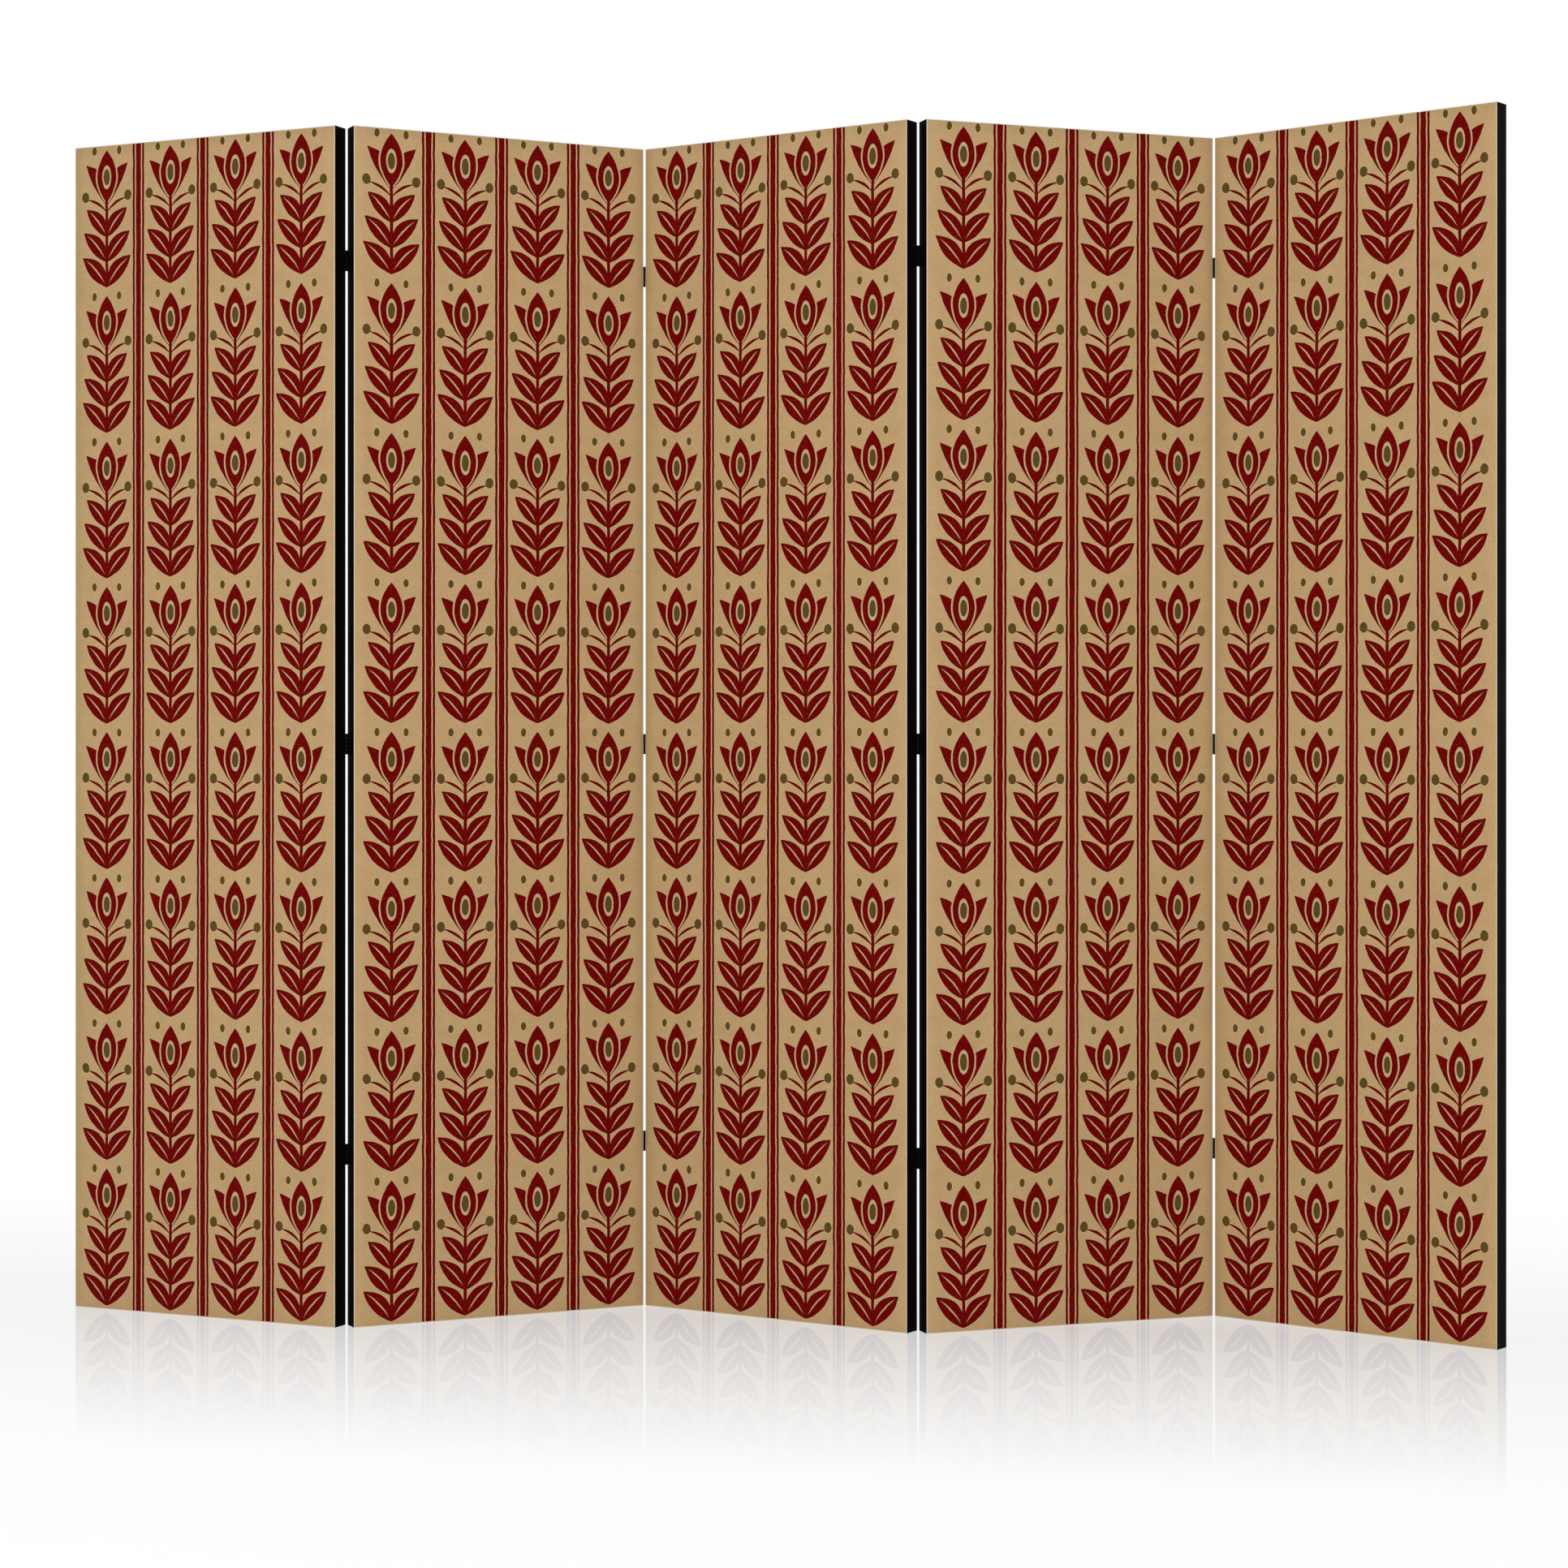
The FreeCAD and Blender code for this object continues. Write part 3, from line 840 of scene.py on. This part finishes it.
@dataclass
class StretchedSheet:
    """A cloth stretched flat on a panel: a show side with an eased edge, a cut rim and a hidden side."""

    number: int
    node_name: str
    piece_name: str
    slot_name: str
    shows_behind: bool
    cell: float = 0.018
    ease: float = 0.0002
    slab: Slab = field(init=False)

    def __post_init__(self) -> None:
        """Reads the sheet's place from its CAD node."""
        self.slab = Slab.of_node(self.node)

    @property
    def node(self) -> str:
        """The CAD node that the sheet stands for."""
        return f"panel_{self.number}_{self.node_name}"

    def lift(self, x: float, z: float) -> float:
        """How far the cloth stands off its flat place, away from the timber."""
        return 0.0

    def pull(self, x: float, z: float) -> float:
        """How far the cut edge is drawn in."""
        return 0.0

    def spot(self, x: float, z: float, below: float) -> Vector:
        """The place of a point of the cloth.

        Args:
            x: Along the sheet.
            z: Up the sheet.
            below: How deep it lies under the show side.

        Returns:
            The place in the shared frame.
        """
        off = self.lift(x, z) - below
        depth = self.slab.depth + off if self.shows_behind else -off
        return self.slab.point(x, depth, z)

    def grid(self, work: BMesh, inset: float, below: float) -> list[list[BMVert]]:
        """Adds one side's points, in rows from the bottom up.

        Args:
            work: The mesh in the making.
            inset: How far the outermost points stand in from the cut edge.
            below: How deep the side lies under the show side.

        Returns:
            The points of each row.
        """
        columns = round(self.slab.width / self.cell)
        rows = 2 * round(self.slab.height / self.cell / 2)
        points = []
        for row in range(rows + 1):
            z = self.slab.height * row / rows
            line = []
            for column in range(columns + 1):
                x = self.slab.width * column / columns
                drawn = self.pull(x, z) + inset
                held_x = min(max(x, drawn), self.slab.width - drawn)
                held_z = min(max(z, drawn), self.slab.height - drawn)
                line.append(work.verts.new(self.spot(held_x, held_z, below)))
            points.append(line)
        return points

    @staticmethod
    def ring(points: list[list[BMVert]]) -> list[BMVert]:
        """The outermost points of a grid.

        Args:
            points: The grid's rows.

        Returns:
            The points, once round.
        """
        bottom, top = points[0], points[-1]
        right = [row[-1] for row in points[1:-1]]
        left = [row[0] for row in points[1:-1]]
        return bottom + right + top[::-1] + left[::-1]

    def rim(self, work: BMesh, like: Sequence[BMVert]) -> list[BMVert]:
        """Adds the points of the cut edge just under its ease, one beside each point of a ring."""
        to_timber = -self.slab.inward if self.shows_behind else self.slab.inward
        return [work.verts.new(vertex.co - to_timber * (self.slab.depth - self.ease)) for vertex in like]

    def mesh(self) -> BMesh:
        """Makes the closed sheet.

        Returns:
            The mesh, with its map in millimetres and its map for baking.
        """
        work = bmesh.new()
        for name in (PRINT_MAP, BAKE_MAP):
            work.loops.layers.uv.new(name)
        shown = self.grid(work, self.ease, 0.0)
        hidden = self.grid(work, 0.0, self.slab.depth)
        edge, foot = self.ring(shown), self.ring(hidden)
        shoulder = self.rim(work, foot)
        for is_shown, rows in ((True, shown), (False, hidden)):
            for low, high in zip(rows, rows[1:]):
                for corner in range(len(low) - 1):
                    quad = (low[corner], low[corner + 1], high[corner + 1], high[corner])
                    self.add_face(work, quad, is_shown)
        for is_shown, inner, outer in ((True, edge, shoulder), (False, shoulder, foot)):
            for quad in band(inner, outer):
                self.add_face(work, quad, is_shown)
        return work

    def add_face(self, work: BMesh, quad: Sequence[BMVert], is_shown: bool) -> None:
        """Adds one face with its maps.

        The show side is baked as two strips side by side, and what is hidden as a thin strip above them.

        Args:
            work: The mesh in the making.
            quad: The face's corners.
            is_shown: Whether it belongs to the show side and its ease, or to the rim and the hidden side.
        """
        face = work.faces.new(quad)
        face.material_index = 0 if is_shown else 1
        face.smooth = True
        print_map, bake_map = (work.loops.layers.uv[name] for name in (PRINT_MAP, BAKE_MAP))
        places = [self.slab.local(vertex.co) for vertex in quad]
        upper = middle_of(places).z > self.slab.height / 2
        for loop, place in zip(face.loops, places):
            loop[print_map].uv = (place.x / MM, place.z / MM)
            share_x, share_z = place.x / self.slab.width, place.z / self.slab.height
            if is_shown:
                loop[bake_map].uv = ((share_x + upper) / 2, BAKE_SHOWN_HEIGHT * (2 * share_z - upper))
            else:
                loop[bake_map].uv = (share_x, BAKE_HIDDEN_LOW + BAKE_HIDDEN_HEIGHT * share_z)

    def build(self, materials: Sequence[Material]) -> None:
        """Makes the piece in place of its CAD node and hangs it on its panel.

        Args:
            materials: The finish of the show side, then that of the rim and the hidden side.
        """
        name = f"panel_{self.number}_{self.piece_name}"
        piece = add_piece(name, self.mesh(), materials)
        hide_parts(self.node)
        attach(piece, f"panel_{self.number}")


@dataclass
class PrintedFront(StretchedSheet):
    """The printed canvas, bonded to the front of a panel and trimmed flush with it."""

    node_name: str = "front_canvas"
    piece_name: str = "printed_front"
    slot_name: str = "printed_canvas"
    shows_behind: bool = False


@dataclass
class LiningBack(StretchedSheet):
    """The black cloth on the back of a panel, drawn tight between its staples."""

    node_name: str = "back_cloth"
    piece_name: str = "lining_back"
    slot_name: str = "black_cloth"
    shows_behind: bool = True
    cell: float = 0.0098
    dimple: float = 0.00022
    dimple_reach: float = 0.016
    pucker: float = 0.0004
    pucker_reach: float = 0.045
    scallop: float = 0.0009
    dip: float = 0.0022
    dip_reach: float = 0.07
    staples: list[Vector] = field(init=False)
    openings: list[tuple[float, float, float, float]] = field(init=False)

    def __post_init__(self) -> None:
        """Reads the places of the staples and of the frame's two openings."""
        super().__post_init__()
        staples = loose_parts(f"panel_{self.number}_back_staples")
        self.staples = [self.slab.local(middle_of(staple)).xz for staple in staples]
        bars = {bar: self.slab.reach(f"panel_{self.number}_{bar}") for bar in STILES + RAILS}
        left, right = bars["left_stile"][1].x, bars["right_stile"][0].x
        self.openings = [
            (left, right, bars[lower][1].z, bars[upper][0].z)
            for lower, upper in (("bottom_rail", "middle_rail"), ("middle_rail", "top_rail"))
        ]

    @property
    def openings_mm(self) -> list[list[float]]:
        """The openings' left, right, low and high edges, in millimetres."""
        return [[edge / MM for edge in opening] for opening in self.openings]

    def to_staple(self, x: float, z: float) -> float:
        """The distance to the nearest staple."""
        return min(math.hypot(x - at_x, z - at_z) for at_x, at_z in self.staples)

    def lift(self, x: float, z: float) -> float:
        """The dimple under a staple, the pucker between staples and the dip over an opening.

        Args:
            x: Along the sheet.
            z: Up the sheet.

        Returns:
            How far the cloth stands off its flat place, away from the timber.
        """
        away = self.to_staple(x, z)
        to_edge = min(x, self.slab.width - x, z, self.slab.height - z)
        slack = 1 - math.exp(-((away / self.pucker_reach) ** 2))
        lift = self.pucker * slack * math.exp(-to_edge / self.pucker_reach)
        lift -= self.dimple * math.exp(-((away / self.dimple_reach) ** 2))
        for left, right, low, high in self.openings:
            inside = min(x - left, right - x, z - low, high - z)
            share = min(max(inside / self.dip_reach, 0.0), 1.0)
            lift -= self.dip * share * share * (3 - 2 * share)
        return lift

    def pull(self, x: float, z: float) -> float:
        """The shallow scallop that the cut edge has between staples."""
        return self.scallop * (1 - math.exp(-((self.to_staple(x, z) / self.pucker_reach) ** 2)))


@dataclass
class HingeScrews:
    """A panel's hinge screws: countersunk heads with a cross recess, on pointed shanks.

    The recess is given in shares of the head's radius, and the point in shares of the shank's.
    """

    number: int
    sides: int = 24
    recess_reach: float = 0.62
    recess_arm: float = 0.17
    recess_depth: float = 0.5
    recess_taper: float = 0.6
    point_length: float = 2.0
    tip_radius: float = 0.1

    def cross(self, radius: float) -> list[tuple[float, float]]:
        """The outline of a cross recess.

        Args:
            radius: The head's radius.

        Returns:
            The outline's points, once round.
        """
        reach, arm = radius * self.recess_reach, radius * self.recess_arm
        quarter = [(arm, arm), (arm, reach), (-arm, reach)]
        outline = []
        for _ in range(4):
            outline += quarter
            quarter = [(-y, x) for x, y in quarter]
        return outline

    def circle(self, radius: float) -> list[tuple[float, float]]:
        """The points of a circle."""
        turns = [2 * math.pi * side / self.sides for side in range(self.sides)]
        return [(radius * math.cos(turn), radius * math.sin(turn)) for turn in turns]

    def add_screw(self, work: BMesh, slab: Slab, solid: Sequence[Vector]) -> None:
        """Adds one screw in the place of a CAD one.

        Args:
            work: The mesh in the making.
            slab: The panel's canvas, which gives its directions.
            solid: The CAD screw's points.
        """
        places = [slab.local(point) for point in solid]
        outward = 1.0 if middle_of(places).x > slab.width / 2 else -1.0
        face_x = max((place.x for place in places), key=lambda x: x * outward)
        tip_x = min((place.x for place in places), key=lambda x: x * outward)
        head = [place for place in places if abs(place.x - face_x) < SAME_PLANE]
        tail = [place for place in places if abs(place.x - tip_x) < SAME_PLANE]
        centre = middle_of(extent(head))
        radius, shank = (max((place - centre).yz.length for place in end) for end in (head, tail))
        length = abs(face_x - tip_x)

        def layer(outline: Sequence[tuple[float, float]], below: float) -> list[BMVert]:
            """Adds the points of an outline, some way below the head's face."""
            x = face_x - outward * below
            return [work.verts.new(slab.point(x, centre.y + y, centre.z + z)) for y, z in outline]

        rim_outline, cross_outline = self.circle(radius), self.cross(radius)
        rim = layer(rim_outline, 0.0)
        mouth = layer(cross_outline, 0.0)
        loops = [[Vector((*point, 0.0)) for point in outline] for outline in (rim_outline, cross_outline)]
        points = rim + mouth
        for triangle in tessellate_polygon(loops):
            work.faces.new([points[index] for index in triangle])
        floor_outline = [(y * self.recess_taper, z * self.recess_taper) for y, z in cross_outline]
        floor = layer(floor_outline, radius * self.recess_depth)
        neck = layer(self.circle(shank), radius - shank)
        end = layer(self.circle(shank), length - shank * self.point_length)
        tip = layer(self.circle(shank * self.tip_radius), length)
        for upper, lower in ((mouth, floor), (rim, neck), (neck, end), (end, tip)):
            for quad in band(upper, lower):
                work.faces.new(quad)
        for cap in (floor, tip):
            work.faces.new(cap)

    def build(self, material: Material) -> None:
        """Makes the panel's screws as one piece.

        Args:
            material: Their finish.
        """
        node = f"panel_{self.number}_hinge_screws"
        slab = Slab.of_node(f"panel_{self.number}_front_canvas")
        work = bmesh.new()
        for solid in loose_parts(node):
            self.add_screw(work, slab, solid)
        piece = add_piece(f"panel_{self.number}_cross_screws", work, [material])
        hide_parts(node)
        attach(piece, f"panel_{self.number}")
        log.info("built %s", piece.name)


@dataclass
class PanelFrame:
    """The timber frame of a panel and the staples in its back."""

    number: int

    def dress(self, paint: BlackPaint, staple: Material) -> None:
        """Paints the bars along their own grain and finishes the staples.

        Args:
            paint: The bars' paint.
            staple: The staples' finish.
        """
        turn = Slab.of_node(f"panel_{self.number}_front_canvas").turn
        for grain, bars in ((Grain.UPRIGHT, STILES), (Grain.LEVEL, RAILS)):
            material = paint.material(f"black_paint_{self.number}_{grain.name.lower()}", grain, turn)
            for bar in bars:
                paint_node(f"panel_{self.number}_{bar}", material)
        paint_node(f"panel_{self.number}_back_staples", staple)


@dataclass
class SeamHinges:
    """The three hinges of a seam."""

    seam: str

    def dress(self, steel: Material) -> None:
        """Finishes the leaves and their pins."""
        for part in ("left_leaves", "right_leaves", "pins"):
            paint_node(f"seam_{self.seam}_{part}", steel)


@dataclass(frozen=True)
class Softbox:
    """A broad soft lamp, which the glossy floor doesn't mirror."""

    name: str
    place: tuple[float, float, float]
    aim: tuple[float, float, float]
    width: float
    height: float
    power: float

    def build(self) -> None:
        """Hangs the lamp."""
        data = bpy.data.lights.new(self.name, "AREA")
        data.shape = "RECTANGLE"
        data.size, data.size_y = self.width, self.height
        data.energy = self.power
        lamp = bpy.data.objects.new(self.name, data)
        lamp.location = self.place
        lamp.visible_glossy = False
        lamp.rotation_euler = (Vector(self.aim) - Vector(self.place)).to_track_quat("-Z", "Y").to_euler()
        bpy.context.scene.collection.objects.link(lamp)


@dataclass(frozen=True)
class Viewpoint:
    """A level camera: its place, its turn to the left in degrees and its lens in pixels of its frame."""

    place: tuple[float, float, float] = (0.883, -4.815, 0.831)
    turn: float = 10.19
    focal_px: float = 4161.0
    frame_px: float = 1932.0
    horizon_rise_px: float = 45.8
    sensor_mm: float = 36.0

    def build(self) -> None:
        """Sets up the camera."""
        data = bpy.data.cameras.new("viewpoint")
        data.sensor_width = self.sensor_mm
        data.lens = self.sensor_mm * self.focal_px / self.frame_px
        data.shift_y = -self.horizon_rise_px / self.frame_px
        camera = bpy.data.objects.new("viewpoint", data)
        camera.location = self.place
        camera.rotation_euler = (math.pi / 2, 0.0, math.radians(self.turn))
        bpy.context.scene.collection.objects.link(camera)
        bpy.context.scene.camera = camera


@dataclass(frozen=True)
class Studio:
    """A pale floor under even light, with nothing behind it but white."""

    floor_radius: float = 14.0
    floor_sides: int = 96
    floor_drop: float = 0.0004
    floor_colour: str = "F4F3F1"
    floor_grain: Mottle = Mottle(scale=6.0, detail=3.0)
    floor_roughness: float = 0.85
    grain_roughness: float = 0.1
    floor_gloss: float = 0.4
    floor_gloss_roughness: float = 0.01
    gloss_reach: float = 1.0
    floor_glow: float = 0.9
    glow_near: float = 0.3
    glow_far: float = 1.7
    glow_squeeze: float = 0.5
    sky_light: float = 0.5
    lamps: tuple[Softbox, ...] = (
        Softbox("front_softbox", (0.4, -6.0, 0.8), (0.0, 0.0, 0.8), 4.5, 1.5, 244.0),
        Softbox("back_softbox", (-1.5, 6.0, 3.6), (0.0, 0.0, 0.9), 4.0, 3.0, 130.0),
    )

    @staticmethod
    def seen_directly(tree: NodeTree) -> Field:
        """Tells rays that show the background itself from those that light the screen.

        Args:
            tree: The shader's tree.

        Returns:
            1 for the first and 0 for the second.
        """
        path = tree.nodes.new("ShaderNodeLightPath")
        straight = Field(tree, path.outputs["Is Camera Ray"])
        mirrored = Field(tree, path.outputs["Is Glossy Ray"])
        through = Field(tree, path.outputs["Is Transmission Ray"])
        return straight.most(mirrored).most(through)

    def build_sky(self) -> None:
        """Makes the even light, which shows as plain white."""
        world = bpy.data.worlds.new("studio")
        world.use_nodes = True
        bpy.context.scene.world = world
        tree = world.node_tree
        background = tree.nodes["Background"]
        background.inputs["Color"].default_value = (1.0, 1.0, 1.0, 1.0)
        strength = self.seen_directly(tree) * (1.0 - self.sky_light) + self.sky_light
        tree.links.new(strength.socket, background.inputs["Strength"])

    def floor_material(self) -> Material:
        """Makes the floor's pale finish, with a mirror that fades in front of the screen.

        Seen directly, the floor is lifted towards white, and is white where it meets the sky.

        Returns:
            The material.
        """
        shader = Shader("studio_floor")
        tree = shader.tree
        place = shader.body_place()
        x, y = shader.parts(place)
        grain = self.floor_grain.grain(shader, place)
        shader.set(Base_Color=self.floor_colour, Specular_IOR_Level=0.0)
        shader.set(Roughness=grain * self.grain_roughness + self.floor_roughness)
        glow = tree.nodes.new("ShaderNodeEmission")
        away = (x * x * self.glow_squeeze + y * y).root().ramp(self.glow_near, self.glow_far)
        lift = away * (1.0 - self.floor_glow) + self.floor_glow
        lifted = self.blend(shader, self.seen_directly(tree) * lift, shader.surface, glow)
        mirror = tree.nodes.new("ShaderNodeBsdfGlossy")
        mirror.inputs["Roughness"].default_value = self.floor_gloss_roughness
        near = abs(y).ramp(self.gloss_reach, 0.0)
        glossed = self.blend(shader, near * self.floor_gloss, lifted, mirror)
        tree.links.new(glossed.outputs[0], tree.nodes["Material Output"].inputs["Surface"])
        return shader.material

    @staticmethod
    def blend(shader: Shader, share: Field, below: Node, above: Node) -> Node:
        """Mixes two surface shaders.

        Args:
            shader: The material in the making.
            share: How much of the upper one shows.
            below: The lower one.
            above: The upper one.

        Returns:
            The node that mixes them.
        """
        node = shader.tree.nodes.new("ShaderNodeMixShader")
        shader.plug(share, node.inputs["Fac"])
        shader.plug(below.outputs[0], node.inputs[1])
        shader.plug(above.outputs[0], node.inputs[2])
        return node

    def build(self) -> None:
        """Makes the floor, the light and the lamps."""
        work = bmesh.new()
        bmesh.ops.create_circle(work, cap_ends=True, segments=self.floor_sides, radius=self.floor_radius)
        floor = add_piece("studio_floor", work, [self.floor_material()])
        floor.location.z = -self.floor_drop
        self.build_sky()
        for lamp in self.lamps:
            lamp.build()
        bpy.context.scene.view_settings.view_transform = "Standard"


def write_sizes() -> None:
    """Brings the scene's placements up to date."""
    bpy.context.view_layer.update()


def main() -> None:
    """Builds and finishes the screen, panel by panel and seam by seam, and sets up the studio."""
    logging.basicConfig(level=logging.INFO, format="%(message)s")
    canvas = Slab.of_node("panel_1_front_canvas")
    design = SprigPrint(panel_width=canvas.width / MM, panel_height=canvas.height / MM)
    print_finish = PrintedCanvas(design).material("printed_canvas")
    bare_finish = CUT_CANVAS.material("bare_canvas")
    cloth_finish = BlackCloth(LiningBack(PANELS[0]).openings_mm).material("black_cloth")
    steel_finish = BLACK_STEEL.material("black_steel")
    staple_finish = STAPLE_STEEL.material("staple_steel")
    paint = BlackPaint()
    for number in PANELS:
        PanelFrame(number).dress(paint, staple_finish)
        PrintedFront(number).build([print_finish, bare_finish])
        LiningBack(number).build([cloth_finish, cloth_finish])
        HingeScrews(number).build(steel_finish)
    for seam in SEAMS:
        SeamHinges(seam).dress(steel_finish)
    Studio().build()
    Viewpoint().build()
    write_sizes()


if __name__ == "__main__":
    main()
